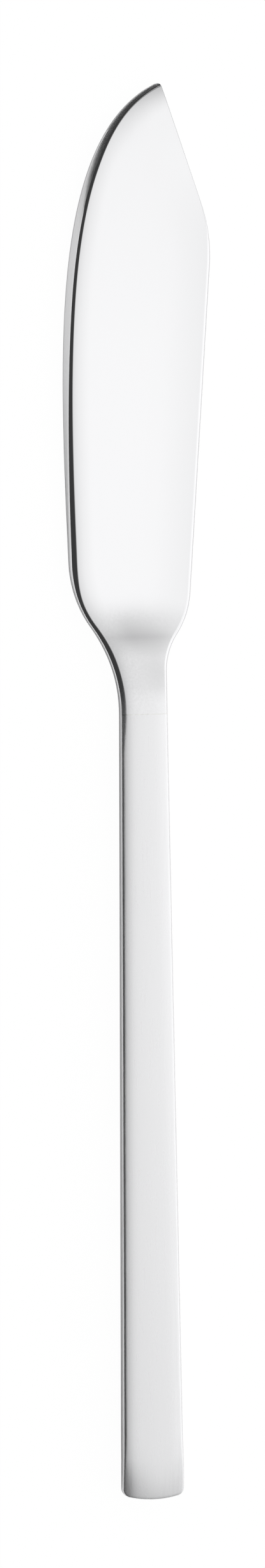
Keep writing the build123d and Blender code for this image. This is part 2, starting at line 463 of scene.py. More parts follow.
def stainless_steel_mirror_polished(tree):
    """Stainless steel, buffed to a mirror: clear dark and white reflections with a trace of buffing haze."""
    place = add_node(tree, "ShaderNodeTexCoord")
    parts = add_node(tree, "ShaderNodeSeparateXYZ", None, Vector=(place, "Object"))
    # The handle's lengthwise brushing runs out on the neck's edges.
    at_mouth = add_node(
        tree, "ShaderNodeMapRange",
        {"interpolation_type": "SMOOTHSTEP", "From Min": MOUTH_Y + BRUSHED_EDGES, "From Max": MOUTH_Y},
        Value=(parts, "Y"))
    haze = buffing_haze(tree, place)
    rough = add_node(tree, "ShaderNodeMix", {"data_type": "FLOAT", "B": 0.25}, Factor=at_mouth, A=haze)
    brushing = add_node(tree, "ShaderNodeMath", {"operation": "MULTIPLY", 1: BRUSHED}, input_0=at_mouth)
    tangent = add_node(tree, "ShaderNodeTangent", {"direction_type": "UV_MAP", "uv_map": BRUSHING_MAP})
    return add_node(
        tree, "ShaderNodeBsdfPrincipled",
        {"Base Color": bpy.context.scene.fish_knife_colours.steel, "Metallic": 1.0},
        Roughness=rough, Anisotropic=brushing, Tangent=tangent)


def stainless_steel_fine_ground(tree):
    """Stainless steel, ground and lightly polished: the even grey facet along the curved edge."""
    place = add_node(tree, "ShaderNodeTexCoord")
    # Grinding lines are finer than 0.1 mm. They are drawn 0.25 mm wide, so that they show.
    rough = grained(tree, place, 0.25 * MM, (0.2, 0.27), density=(0.05, 0.05, 1))[1]
    return add_node(
        tree, "ShaderNodeBsdfPrincipled",
        {"Base Color": bpy.context.scene.fish_knife_colours.steel, "Metallic": 1.0}, Roughness=rough)


def stainless_steel_brushed_lengthwise(tree):
    """Stainless steel, brushed along the handle: smeared reflections with fine lengthwise streaks."""
    place = add_node(tree, "ShaderNodeTexCoord")
    # Brush lines are finer than 0.1 mm. They are drawn 0.3 mm wide, so that they show.
    lines, rough = grained(
        tree, place, 0.3 * MM, (0.22, 0.29), density=(1, 0.04, 1), detail=3.0, fine=0.65, span=(0.25, 0.75))
    # The lines also differ a little in brightness.
    shade = add_node(
        tree, "ShaderNodeMapRange",
        {"From Min": 0.25, "From Max": 0.75, "To Min": 0.96, "To Max": 1.04}, Value=lines)
    tint = add_node(
        tree, "ShaderNodeVectorMath",
        {"operation": "SCALE", 0: bpy.context.scene.fish_knife_colours.satin[:3]}, Scale=shade)
    relief = add_node(tree, "ShaderNodeBump", {"Strength": 0.25, "Distance": 0.004 * MM}, Height=lines)
    tangent = add_node(tree, "ShaderNodeTangent", {"direction_type": "UV_MAP", "uv_map": BRUSHING_MAP})
    return add_node(
        tree, "ShaderNodeBsdfPrincipled", {"Metallic": 1.0, "Anisotropic": BRUSHED},
        Base_Color=tint, Roughness=rough, Normal=relief, Tangent=tangent)


def silver_braze_filed(tree):
    """Silver braze, filed flush: a hair line a little warmer than the steel, with file marks."""
    place = add_node(tree, "ShaderNodeTexCoord")
    rough = grained(tree, place, 0.4 * MM, (0.2, 0.3))[1]
    return add_node(
        tree, "ShaderNodeBsdfPrincipled",
        {"Base Color": bpy.context.scene.fish_knife_colours.braze, "Metallic": 1.0}, Roughness=rough)


def cutlers_cement_cast(tree):
    """Cutler's cement, cast in the handle: dull brown grey with sandy grains."""
    place = add_node(tree, "ShaderNodeTexCoord")
    grain = 0.5 * MM
    sand = add_node(
        tree, "ShaderNodeTexNoise", {"Scale": 1 / grain, "Detail": 4.0}, Vector=(place, "Object"))
    tint = add_node(
        tree, "ShaderNodeMixRGB",
        {"blend_type": "MULTIPLY", "Color1": bpy.context.scene.fish_knife_colours.cement},
        Fac=sand, Color2=sand)
    relief = add_node(tree, "ShaderNodeBump", {"Strength": 0.5, "Distance": 0.1 * MM}, Height=sand)
    return add_node(tree, "ShaderNodeBsdfPrincipled", {"Roughness": 0.9}, Base_Color=tint, Normal=relief)


def crown_at(x, y):
    """Return how far the crowned top lies below its middle line at this place on the neck or handle."""
    handle = bpy.context.scene.fish_knife_handle
    fade = 1 - smooth_step(MOUTH_Y + handle.crown_keep, MOUTH_Y + handle.crown_fade, y)
    edge, back = blade_edges()[:2]
    sides = []
    for line, sign in ((edge, -1), (back, 1)):
        along = np.concatenate([[BUTT_Y, MOUTH_Y], line[:, 1]])
        out = np.concatenate([[sign * BUTT_HALF, sign * NECK_HALF], line[:, 0]])
        sides.append(np.interp(y, along, out))
    left, right = sides
    share = (2 * x - left - right) / np.maximum(right - left, MM)
    near_butt = 1 - smooth_step(BUTT_Y, BUTT_Y + handle.butt_rolloff_width, y)
    crown = handle.crown * fade + (handle.butt_crown - handle.crown) * near_butt
    return crown * np.clip(share, -1, 1) ** 2


def blade_edges():
    """Return points along the curved edge and the back, the tip's centre, and both headings at the tip.

    The points run from the shoulder to where the tip's circle starts.
    """
    sizes = bpy.context.scene.fish_knife_blade
    forward = heading(0)
    centre = np.array([sizes.tip_side, TIP_Y - sizes.tip_radius])

    edge_neck = np.array([-NECK_HALF, MOUTH_Y + sizes.edge_neck_reach])
    belly = np.array([-sizes.belly_side, MOUTH_Y + sizes.belly_reach])
    belly_heading = heading(-sizes.belly_lean)
    tip_heading = heading(sizes.belly_tip_lean)
    tip_edge = centre + left_of(tip_heading) * sizes.tip_radius
    edge = np.vstack([
        arc(np.array([-NECK_HALF, SHOULDER_Y]), forward, edge_neck)[:-1],
        two_arcs(edge_neck, forward, sizes.edge_neck_pull, belly, belly_heading)[:-1],
        cubic([
            belly,
            belly + belly_heading * sizes.belly_lower_pull,
            tip_edge - tip_heading * sizes.belly_upper_pull,
            tip_edge,
        ]),
    ])

    back_neck = np.array([NECK_HALF, MOUTH_Y + sizes.back_neck_reach])
    shoulder = np.array([sizes.back_shoulder_side, MOUTH_Y + sizes.back_shoulder_reach])
    corner = np.array([sizes.back_corner_side, MOUTH_Y + sizes.back_corner_reach])
    back_heading = unit(corner - shoulder)
    away = centre - corner
    swing = math.asin(sizes.tip_radius / np.linalg.norm(away))
    run_lean = math.atan2(away[0], away[1]) + swing
    run = heading(run_lean)
    tip_back = centre - left_of(run) * sizes.tip_radius
    turn = math.acos(back_heading @ run)
    cut = sizes.back_corner_radius * math.tan(turn / 2)
    bend_start = corner - back_heading * cut
    bend_end = corner + run * cut
    back = np.vstack([
        arc(np.array([NECK_HALF, SHOULDER_Y]), forward, back_neck)[:-1],
        two_arcs(back_neck, forward, sizes.back_neck_pull, shoulder, back_heading)[:-1],
        arc(shoulder, back_heading, bend_start)[:-1],
        arc(bend_start, back_heading, bend_end)[:-1],
        arc(bend_end, run, tip_back, 600),
    ])
    return edge, back, centre, tip_heading, run


def inward(points, side):
    """Return the unit normals into the blade along a line: side is 1 for the edge, -1 for the back."""
    along = unit(np.gradient(points, axis=0))
    return side * np.stack([along[:, 1], -along[:, 0]], axis=1)


def blade_heights(y):
    """Return the heights of the blade's upper and lower face at these places along it."""
    sizes = bpy.context.scene.fish_knife_blade
    crest = MOUTH_Y + sizes.ramp_reach
    foot = crest + sizes.ramp_length
    flat = np.array([1.0, 0.0])
    heights = []
    for shoulder_z, crest_z, blade_z in (
        (NECK_TOP, NECK_TOP - sizes.neck_fall, sizes.lift + sizes.thickness),
        (0.0, 0.0, sizes.lift),
    ):
        start = np.array([SHOULDER_Y, shoulder_z])
        ease_y = MOUTH_Y + sizes.neck_ease
        slope = (shoulder_z - crest_z) / (crest - (SHOULDER_Y + ease_y) / 2)
        bend = np.array([ease_y, shoulder_z - slope * (ease_y - SHOULDER_Y) / 2])
        top = np.array([crest, crest_z])
        ramp = two_arcs(top, unit(top - bend), sizes.ramp_pull, np.array([foot, blade_z]), flat)
        side_view = np.vstack([arc(start, flat, bend, 20), ramp, [TIP_Y, blade_z]])
        heights.append(np.interp(y, side_view[:, 0], side_view[:, 1]))
    return heights


def strip_fall(distance, width, slope, power=1):
    """Return how far a strip that is rounded off along an edge lies below the face at this distance in.

    The slope is that at the edge. It fades across the strip, the higher the power the sooner.
    """
    return np.tan(slope) * width / (power + 1) * np.clip(1 - distance / width, 0, None) ** (power + 1)


def distance_in(plan, line, normals):
    """Return how far these places in plan lie in from a line of points, measured square to it."""
    places = plan.reshape(-1, 2)
    found = []
    for part in np.array_split(places, len(places) // 500 + 1):
        nearest = ((part[:, None, :] - line) ** 2).sum(axis=2).argmin(axis=1)
        found.append(((part - line[nearest]) * normals[nearest]).sum(axis=1))
    return np.concatenate(found).reshape(plan.shape[:-1])


def rolloff(plan):
    """Return how far polishing has taken the face down along edge and back at these places in plan.

    At the neck the strips are those of the handle. The back has none on its run to the tip.
    """
    sizes = bpy.context.scene.fish_knife_blade
    handle = bpy.context.scene.fish_knife_handle
    edge, back = blade_edges()[:2]
    edge_distance = distance_in(plan, edge, inward(edge, 1))
    back_distance = distance_in(plan, back, inward(back, -1))
    reach = plan[..., 1] - MOUTH_Y
    edge_fall = strip_fall(edge_distance, sizes.rolloff_width, sizes.rolloff_angle)
    edge_fall = edge_fall * eased(reach, TIP_STRIP_REACHES, (1, sizes.tip_rolloff_share))
    back_fall = strip_fall(back_distance, sizes.back_rolloff_width, sizes.back_rolloff_angle)
    back_fall = back_fall * eased(reach, BACK_STRIP_REACHES, (1, 0))
    neck_fall = sum(
        strip_fall(distance, handle.rolloff_width, handle.rolloff_angle, 2)
        for distance in (edge_distance, back_distance))
    from_neck = eased(reach, NECK_STRIP_REACHES, (0, 1))
    return blend(neck_fall, edge_fall + back_fall, from_neck)


def face_height(plan):
    """Return the height of the blade's crowned and polished face at these places in plan."""
    x, y = plan[..., 0], plan[..., 1]
    return blade_heights(y)[0] - crown_at(x, y) - rolloff(plan)


def rim_sizes(reach, side):
    """Return the sizes of the blade's rim at these reaches.

    They are the bevel's slope, bow and drop, the upper round's width and squash, and the lower round's
    depth and share. Side is 1 along the curved edge and -1 along the back, which has no bevel.
    """
    sizes = bpy.context.scene.fish_knife_blade
    handle = bpy.context.scene.fish_knife_handle
    drop = eased(reach, DROP_REACHES, (handle.side_drop, sizes.bevel_drop))
    low_in = eased(reach, LOW_REACHES, (handle.low_depth, sizes.low_round))
    low_share = eased(reach, LOW_REACHES, (1.0, sizes.low_share))
    upright = np.full_like(reach, math.pi / 2)
    if side < 0:
        rounds = (handle.back_round, sizes.back_round, sizes.back_round, sizes.run_round)
        top_round = eased(reach, BACK_ROUND_REACHES, rounds)
        squash = eased(reach, BACK_SQUASH_REACHES, (handle.back_height / handle.back_round, 1.0))
        return upright, np.zeros_like(reach), drop, top_round, squash, low_in, low_share
    rounds = (sizes.neck_round, sizes.flare_round, sizes.belly_round, sizes.edge_round)
    top_round = eased(reach, EDGE_ROUND_REACHES, rounds)
    squash = eased(reach, EDGE_SQUASH_REACHES, (sizes.neck_squash, 1.0))
    near_tip = smooth_step(sizes.tip_bevel_start, sizes.tip_bevel_end, reach)
    from_neck = smooth_step(sizes.bevel_fade, sizes.bevel_full, reach)
    slope = blend(blend(upright, sizes.bevel_angle, from_neck), sizes.tip_bevel_angle, near_tip)
    drop = blend(drop, sizes.tip_bevel_drop, near_tip)
    drop = drop * eased(reach, TIP_BEVEL_REACHES, (1, sizes.tip_bevel_share))
    top_round = blend(top_round, sizes.tip_edge_round, near_tip)
    return slope, sizes.tip_bevel_bow * near_tip, drop, top_round, squash, low_in, low_share


def edge_section(slope, bow, drop, top_round, squash, low_depth, low_share):
    """Return sections of the blade's rim: distances in from the outline, and depths under the face.

    The bevel's slope eases by bow to both sides of its middle, and a round leads on to a narrow level strip.
    The rim's lower edge is a quarter round. Its distances in come last, with its heights as shares of the
    side's height under the bevel.
    """
    slope, bow, drop, top_round, squash = (size[:, None] for size in (slope, bow, drop, top_round, squash))
    # The bowed slope stays short of upright, where its tangent has no value.
    steepest = 1.55
    level_steps = [0.02 * MM, 0.04 * MM]
    inner = np.arctan(np.tan(slope - bow) / squash)
    fall = drop - top_round * squash * (1 - np.cos(inner))
    inset = fall / np.tan(slope)
    ease = inset * (np.tan(np.minimum(slope + bow, steepest)) - np.tan(slope)) * (bow > 0)
    turn = inner * np.append(np.linspace(1, 0, ROUND_COLUMNS), [0, 0])
    level = np.append(np.zeros(ROUND_COLUMNS), level_steps)
    round_in = inset + top_round * (np.sin(inner) - np.sin(turn)) + level
    round_depth = top_round * squash * (1 - np.cos(turn))
    share = np.linspace(0, 1, BEVEL_COLUMNS + 1)[:-1]
    bevel_in = share * inset
    bevel_depth = round_depth[:, :1] + fall * (1 - share) - ease * share * (1 - share)
    low_in = low_depth[:, None] * (1 - np.sin(QUARTER_TURN))
    low_height = low_share[:, None] * (1 - np.cos(QUARTER_TURN))
    return np.hstack([bevel_in, round_in]), np.hstack([bevel_depth, round_depth]), low_in, low_height


def fitted(distances, width):
    """Return the distances in, drawn together to this width, or with only the last one carried on to it."""
    share = np.minimum(width / distances[:, -1], 1)
    found = distances * share[:, None]
    found[:, -1] = width
    return found


def blade_rim(outline, normals, side, width, bevel_at, circle):
    """Return the rim's grid of points, from the underside up to the face, along one side of the blade.

    Side is 1 along the curved edge and -1 along the back. Width is that of the upper rim where the tip gives
    it, and no number elsewhere. The last points, as many as circle says, are on the tip's circle, where
    bevel_at tells the depth of the bevel.
    """
    reach = outline[:, 1] - MOUTH_Y
    top_in, top_depth, low_in, low_height = edge_section(*rim_sizes(reach, side))
    top_in = fitted(top_in, np.where(np.isnan(width), top_in[:, -1], width))
    low_plan, top_plan = (
        outline[:, None, :] + normals[:, None, :] * distances[:, :, None] for distances in (low_in, top_in))
    bevel = bevel_at(top_plan[-circle:])
    top_depth[-circle:] = bevel if side > 0 else np.maximum(top_depth[-circle:], bevel)
    top_z = face_height(top_plan) - top_depth
    under_z = blade_heights(low_plan[:, :, 1])[1]
    low_z = under_z + low_height * (top_z[:, :1] - under_z[:, -1:])
    plan = np.concatenate([low_plan, top_plan], axis=1)
    return np.concatenate([plan, np.hstack([low_z, top_z])[:, :, None]], axis=2)


def crowded_shares(count):
    """Return shares from 0 to 1 that crowd at both ends."""
    return (1 - np.cos(np.linspace(0, math.pi, count))) / 2


def at_places(points, normals, along, places):
    """Return the points and unit normals where a measure along the line of points reaches these places."""
    place, normal = (
        np.stack([np.interp(places, along, line[:, axis]) for axis in (0, 1)], axis=1)
        for line in (points, normals))
    return place, unit(normal)


def tip_ridge(edge, edge_normals, back, back_normals, edge_width, radius):
    """Return where the rims of edge and back meet near the tip, for these widths of the edge's rim.

    The back's rim is as wide as the radius of the tip's circle. The points on the edge come first, then the
    normals there and the points on the back.
    """
    searched = 12 * MM
    near = edge[:, 1] > TIP_Y - searched
    edge, edge_normals = edge[near], edge_normals[near]
    index = np.arange(len(edge))
    run_normal = back_normals[-1]
    gaps = [(edge + edge_normals * wide - back[-1]) @ run_normal - radius for wide in edge_width]
    places = [np.interp(0, -gap, index) for gap in gaps]
    feet, normals = at_places(edge, edge_normals, index, places)
    return feet, normals, feet + normals * edge_width[:, None] - run_normal * radius


def tip_fans(edge_out, back_out):
    """Return directions out from the tip's centre, from those of edge and back to the one in the middle."""
    ends = [plan_angle(out) for out in (edge_out, back_out)]
    middle = sum(ends) / 2
    # The columns of both rims change over in the last strip, so that is a narrow one.
    shares = np.append(np.linspace(0, 1, 9)[1:-1], [0.95, 1.0])
    return [directions(blend(end, middle, shares)) for end in ends]


def blade_rims():
    """Return the rims along the curved edge and the back, and how many rows lie below where they meet."""
    sizes = bpy.context.scene.fish_knife_blade
    radius = sizes.tip_radius
    edge, back, centre, tip_heading, run = blade_edges()
    edge_normals = inward(edge, 1)
    back_normals = inward(back, -1)
    at_tip = np.array([TIP_Y - MOUTH_Y])
    tip_in, tip_depth = edge_section(*rim_sizes(at_tip, 1))[:2]
    back_reach = edge_section(*rim_sizes(at_tip, -1))[0][0, -1]
    ridge_width = np.linspace(tip_in[0, -1], radius, 9)
    ridge_edge, ridge_in, ridge_back = tip_ridge(
        edge, edge_normals, back, back_normals, ridge_width, radius)

    # Rows run across the blade, close together at the flare and towards the tip.
    reach_rows = np.concatenate([
        np.linspace(0, 20, 110)[:-1],
        np.linspace(20, 68, 70)[:-1],
        np.linspace(68, 90, 90),
    ])
    share = reach_rows / reach_rows[-1]
    rows = len(share)
    edge_y = blend(SHOULDER_Y, ridge_edge[0, 1], share)
    back_y = blend(SHOULDER_Y, ridge_back[0, 1], share)
    edge_line, edge_in = at_places(edge, edge_normals, edge[:, 1], edge_y)
    back_line, back_in = at_places(back, back_normals, back[:, 1], back_y)

    # Then come the rows on which the rims meet, and those on the tip's circle.
    edge_out = left_of(tip_heading)
    back_out = -left_of(run)
    edge_fan, back_fan = tip_fans(edge_out, back_out)
    circle = len(edge_fan)
    met = len(ridge_width) - 1
    edge_line = np.vstack([edge_line, ridge_edge[1:], centre + edge_fan * radius])
    edge_in = np.vstack([edge_in, ridge_in[1:], -edge_fan])
    back_line = np.vstack([back_line, ridge_back[1:], centre + back_fan * radius])
    back_in = np.vstack([back_in, np.tile(back_normals[-1], (met, 1)), -back_fan])

    # Towards the tip the back's rim is carried on flat, until it is as wide as the tip's circle.
    edge_width = np.concatenate([np.full(rows - 1, np.nan), ridge_width, np.full(circle, radius)])
    wider = eased(back_y - MOUTH_Y, TIP_BACK_REACHES, (0, 1))
    back_width = np.where(wider > 0, blend(back_reach, radius, wider), np.nan)
    back_width = np.append(back_width[:-1], np.full(1 + met + circle, radius))

    # The bevel runs straight on over the tip's circle, and both rims meet in the circle's middle.
    tip_in = fitted(tip_in, ridge_width[-1:])

    def bevel_at(plan):
        """Return the bevel's depth at these places on the tip's circle."""
        return np.interp(radius - (plan - centre) @ edge_out, tip_in[0], tip_depth[0])

    edge_rim = blade_rim(edge_line, edge_in, 1, edge_width, bevel_at, circle)
    back_rim = blade_rim(back_line, back_in, -1, back_width, bevel_at, circle)
    low = edge_rim[-circle - 1:, :QUARTER_COLUMNS, 2]
    last_low = back_rim[-1, :QUARTER_COLUMNS, 2]
    low[:] = blend(low[0], last_low, np.linspace(0, 1, circle + 1)[:, None])
    edge_rim[-1] = back_rim[-1]
    return edge_rim, back_rim, rows


class FISHKNIFE_OT_blade(bpy.types.Operator):
    """Build the polished blade with its neck, ramp and bevelled edge"""

    bl_idname = "fish_knife.blade"
    bl_label = "Blade"

    def execute(self, context):
        edge_rim, back_rim, rows = blade_rims()
        skin = Skin()
        facet = np.zeros(edge_rim.shape[1] - 1, dtype=int)
        facet[QUARTER_COLUMNS - 1:QUARTER_COLUMNS - 1 + BEVEL_COLUMNS] = 1
        skin.add_grid(edge_rim, facet)
        skin.add_grid(back_rim)

        across = crowded_shares(FACE_COLUMNS)[None, :, None]
        face = blend(edge_rim[:rows, -1:, :], back_rim[:rows, -1:, :], across)
        face[:, :, 2] = face_height(face[:, :, :2])
        face[:, 0] = edge_rim[:rows, -1]
        face[:, -1] = back_rim[:rows, -1]
        skin.add_grid(face, 2)

        across = crowded_shares(UNDER_COLUMNS)[None, :, None]
        under = blend(edge_rim[:, :1, :], back_rim[:, :1, :], across)
        under[:, :, 2] = blade_heights(under[:, :, 1])[1]
        skin.add_grid(under)

        looks = (
            stainless_steel_mirror_polished,
            stainless_steel_fine_ground,
            stainless_steel_satin_neck_mirror_blade,
        )
        made = skin.make_object("blade_polished", [finish_of(look) for look in looks])
        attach(made, BODY)
        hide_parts("blade")
        return {"FINISHED"}


def along_handle(y, at_butt, at_mouth):
    """Return a size that changes evenly along the handle."""
    return np.interp(y, [BUTT_Y, MOUTH_Y], [at_butt, at_mouth])


def handle_half(y):
    """Return half the handle's width at these places along it."""
    return along_handle(y, BUTT_HALF, NECK_HALF)


def handle_top(x, y):
    """Return the height of the handle's crowned top."""
    sizes = bpy.context.scene.fish_knife_handle
    fall = strip_fall(y - BUTT_Y, sizes.butt_rolloff_width, sizes.butt_rolloff_angle, 2)
    for distance in (handle_half(y) - x, handle_half(y) + x):
        fall = fall + strip_fall(distance, sizes.rolloff_width, sizes.rolloff_angle, 2)
    return along_handle(y, BUTT_TOP, NECK_TOP) - crown_at(x, y) - fall


def seam_height(y):
    """Return the height of the weld seam between the half shells."""
    return along_handle(y, BUTT_TOP / 2, NECK_TOP / 2)


def shell_plan(inset, margins):
    """Return the plan of a half shell's face, and the line of its border, drawn in by inset.

    The line runs from the mouth round the butt and back to the mouth. With it come the directions out from
    it, and the widths of the rim outside it. Margins are these widths at mouth and butt.
    """
    sizes = bpy.context.scene.fish_knife_handle
    mouth_margin, butt_margin = margins
    corner_y = BUTT_Y + inset + butt_margin + sizes.butt_bulge
    across = 2 * crowded_shares(FACE_COLUMNS) - 1
    butt_curve = corner_y - sizes.butt_bulge * (1 - across ** 2)

    # Rows are close together at the butt.
    along = np.concatenate([np.linspace(0, 0.96, 60)[:-1], np.linspace(0.96, 1, 16)])
    margin = blend(mouth_margin, butt_margin, along)
    half = handle_half(blend(MOUTH_Y, corner_y, along)) - inset - margin
    face = np.stack([half[:, None] * across, blend(MOUTH_Y, butt_curve, along[:, None])], axis=2)

    side_out = unit(np.array([1.0, (BUTT_HALF - NECK_HALF) / (MOUTH_Y - BUTT_Y)]))
    lean = 2 * sizes.butt_bulge / half[-1]
    butt_out = unit(np.stack([lean * across, -np.ones_like(across)], axis=1))
    fan = directions(np.linspace(plan_angle(side_out), plan_angle(butt_out[-1]), 11))
    mirror = np.array([-1, 1])
    side_rows = len(along) - 1
    line = np.vstack([
        face[:-1, 0],
        np.tile(face[-1, 0], (len(fan), 1)),
        face[-1, 1:-1],
        np.tile(face[-1, -1], (len(fan), 1)),
        face[-2::-1, -1],
    ])
    outward = np.vstack([
        np.tile(side_out * mirror, (side_rows, 1)),
        fan * mirror,
        butt_out[1:-1],
        fan[::-1],
        np.tile(side_out, (side_rows, 1)),
    ])
    round_butt = np.full(len(line) - 2 * side_rows, butt_margin)
    width = np.concatenate([margin[:-1], round_butt, margin[-2::-1]])[:, None]
    return face, line, outward, width


def undercut_section(side, line, outward, width, rim_edge, seam):
    """Return the section of a rim with a small round on its upper edge, whose side curves in below that.

    First come distances out from the face and depths under it, for the upper edge, then distances out and
    heights for the side down to the seam, or for the lower half from the underside up to the seam.
    """
    sizes = bpy.context.scene.fish_knife_handle
    neck = bpy.context.scene.fish_knife_blade
    to_butt = 1 - smooth_step(BUTT_Y + BUTT_RANGE[0], BUTT_Y + BUTT_RANGE[1], line[:, 1:])
    widest = handle_top(rim_edge[:, :1], rim_edge[:, 1:]) - blend(sizes.side_drop, sizes.butt_drop, to_butt)
    at_seam = np.arccos(1 - seam / widest)
    start, columns = (math.pi / 2, 4) if side > 0 else (0.0, 17)
    low_turn = blend(start, at_seam, np.linspace(0, 1, columns))
    low_out = width * np.sin(low_turn)
    low_z = widest * (1 - np.cos(low_turn))

    # The left edge leads on from the neck's rounder one.
    at_mouth = smooth_step(MOUTH_Y - MOUTH_RANGE, MOUTH_Y, line[:, 1:])
    at_back = smooth_step(-0.6, 0.6, outward[:, :1])
    rounds = []
    for neck_size, back_size in (
        (neck.neck_round, sizes.back_round),
        (neck.neck_round * neck.neck_squash, sizes.back_height),
    ):
        left_size = blend(sizes.edge_round, neck_size, at_mouth)
        rounds.append(blend(blend(left_size, back_size, at_back), sizes.butt_round, to_butt))
    round_in, round_down = rounds
    flat_out = (width - round_in) * np.linspace(0, 1, 5)[:-1]
    top_out = np.hstack([flat_out, width - round_in * (1 - np.sin(QUARTER_TURN))])
    top_drop = np.hstack([np.zeros_like(flat_out), round_down * (1 - np.cos(QUARTER_TURN))])
    return top_out, top_drop, low_out, low_z


def shell_skin(side, inset, margins, undercut):
    """Return a half shell's flat face and its rim as grids of points, drawn in by inset.

    Side is 1 for the upper half and -1 for the lower one. The rim runs round the face, and from the face to
    the weld seam. Margins are the rim's widths in plan at mouth and butt. An undercut skin has small rounds
    on its upper edges, and sides that curve in under their widest line. Any other has even rounds.
    """
    plan, line, outward, width = shell_plan(inset, margins)

    def surface(places):
        """Return the height of this half's face at these places in plan."""
        x, y = places[:, :, 0], places[:, :, 1]
        return handle_top(x, y) - inset if side > 0 else np.full_like(x, inset)

    def placed(out):
        """Return the places in plan this far out from the face. The mouth stays flat, the sides slant."""
        places = line[:, None, :] + outward[:, None, :] * out[:, :, None]
        places[[0, -1], :, 1] = MOUTH_Y
        return places

    def raised(places, z):
        """Return the points at these places in plan and these heights."""
        return np.concatenate([places, z[:, :, None]], axis=2)

    rim_edge = placed(width)[:, 0]
    seam = seam_height(rim_edge[:, 1])[:, None]
    wall_columns = 8
    if undercut:
        top_out, top_drop, low_out, low_z = undercut_section(side, line, outward, width, rim_edge, seam)
    else:
        top_out = width * np.sin(QUARTER_TURN)
        top_drop = margins[0] * (1 - np.cos(QUARTER_TURN))
        low_out = np.repeat(width, wall_columns, axis=1)
    top_plan = placed(top_out)
    top_z = surface(top_plan) - side * top_drop
    if not undercut:
        low_z = blend(top_z[:, -1:], seam, np.linspace(0, 1, wall_columns + 1)[1:])
    rim = raised(placed(low_out), low_z)
    if side > 0 or not undercut:
        rim = np.concatenate([raised(top_plan, top_z), rim], axis=1)
    return raised(plan, surface(plan)), rim


def outer_skin(side):
    """Return the outside of a half shell, whose sides curve in under their widest line."""
    sizes = bpy.context.scene.fish_knife_handle
    return shell_skin(side, 0.0, (sizes.low_depth, sizes.butt_corner), True)


def inner_skin(side, inset):
    """Return the inside of a half shell, or a skin still further in."""
    sizes = bpy.context.scene.fish_knife_handle
    return shell_skin(side, inset, (sizes.cavity_round, sizes.cavity_round), False)


def mouth_section(face, rim):
    """Return the half shell's section at the mouth, from seam to seam."""
    return np.vstack([rim[0, ::-1], face[0, 1:-1], rim[-1]])


def mouth_loop(upper, lower):
    """Return the closed loop that an upper and a lower skin make at the mouth."""
    return np.vstack([mouth_section(*upper), mouth_section(*lower)[-2::-1]])


class FISHKNIFE_OT_handle(bpy.types.Operator):
    """Build the upper and lower half shells of the hollow handle"""

    bl_idname = "fish_knife.handle"
    bl_label = "Handle shells"

    def execute(self, context):
        sizes = context.scene.fish_knife_handle
        for name, node, side in (
            ("handle_upper_half", "handle_top_shell", 1),
            ("handle_lower_half", "handle_bottom_shell", -1),
        ):
            face, rim = outer_skin(side)
            inner_face, inner_rim = inner_skin(side, sizes.wall)
            skin = Skin()
            for grid in (face, rim, inner_face, inner_rim):
                skin.add_grid(grid)
            skin.add_grid(np.stack([rim[:, -1], inner_rim[:, -1]], axis=1))
            skin.add_grid(np.stack([mouth_section(face, rim), mouth_section(inner_face, inner_rim)]))
            made = skin.make_object(name, [finish_of(stainless_steel_brushed_lengthwise)])
            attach(made, BODY)
            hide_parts(node)
        return {"FINISHED"}


class FISHKNIFE_OT_braze(bpy.types.Operator):
    """Build the hair line of braze round the handle's mouth"""

    bl_idname = "fish_knife.braze"
    bl_label = "Braze seam"

    def execute(self, context):
        sizes = context.scene.fish_knife_handle
        outer = mouth_loop(outer_skin(1), outer_skin(-1))
        inner = mouth_loop(inner_skin(1, sizes.wall), inner_skin(-1, sizes.wall))
        ahead = np.array([0, SHOULDER_Y - MOUTH_Y, 0])
        skin = Skin()
        skin.add_grid(np.stack([outer, outer + ahead, inner + ahead, inner, outer]))
        made = skin.make_object("braze_hair_line", [finish_of(silver_braze_filed)])
        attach(made, BODY)
        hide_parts("braze_ring")
        return {"FINISHED"}


class FISHKNIFE_OT_tang(bpy.types.Operator):
    """Build the spigot and notched tang that hold the blade in the handle"""

    bl_idname = "fish_knife.tang"
    bl_label = "Tang"

    def execute(self, context):
        sizes = context.scene.fish_knife_tang
        handle = context.scene.fish_knife_handle
        inset = handle.wall + sizes.spigot_fit
        loop = mouth_loop(inner_skin(1, inset), inner_skin(-1, inset))
        root_y = MOUTH_Y - sizes.spigot_length
        skin = Skin()
        ends = []
        for y in (SHOULDER_Y, root_y):
            end = loop.copy()
            end[:, 1] = y
            ends.append(end)
        skin.add_grid(np.stack(ends))

        # Both sides of the tang taper, with round notches for the cement to grip.
        slant = sizes.tang_taper / sizes.tang_length
        turn = np.linspace(math.pi / 2, -math.pi / 2, 13)
        side_line = [(sizes.tang_width / 2, root_y)]
        for index in range(NOTCH_COUNT):
            fall = sizes.notch_pitch * (index + 1)
            half = sizes.tang_width / 2 - slant * fall
            for step in turn:
                side_line.append((
                    half - sizes.notch_radius * math.cos(step),
                    root_y - fall + sizes.notch_radius * math.sin(step),
                ))
        side_line.append((sizes.tang_width / 2 - sizes.tang_taper, root_y - sizes.tang_length))
        side = np.array(side_line)
        low = NECK_TOP / 2 - sizes.tang_thickness / 2
        high = NECK_TOP / 2 + sizes.tang_thickness / 2
        section = np.stack([
            np.column_stack([side * [sign, 1], np.full(len(side), z)])
            for sign, z in ((-1, low), (-1, high), (1, high), (1, low), (-1, low))
        ], axis=1)
        skin.add_grid(section)
        made = skin.make_object("blade_tang", [finish_of(stainless_steel_fine_ground)])
        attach(made, BODY)
        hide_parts("blade")
        return {"FINISHED"}


class FISHKNIFE_OT_filler(bpy.types.Operator):
    """Give the cement inside the handle its finish"""

    bl_idname = "fish_knife.filler"
    bl_label = "Handle filler"

    def execute(self, context):
        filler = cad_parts["handle_filler"]
        filler.data.materials.clear()
        filler.data.materials.append(finish_of(cutlers_cement_cast))
        return {"FINISHED"}


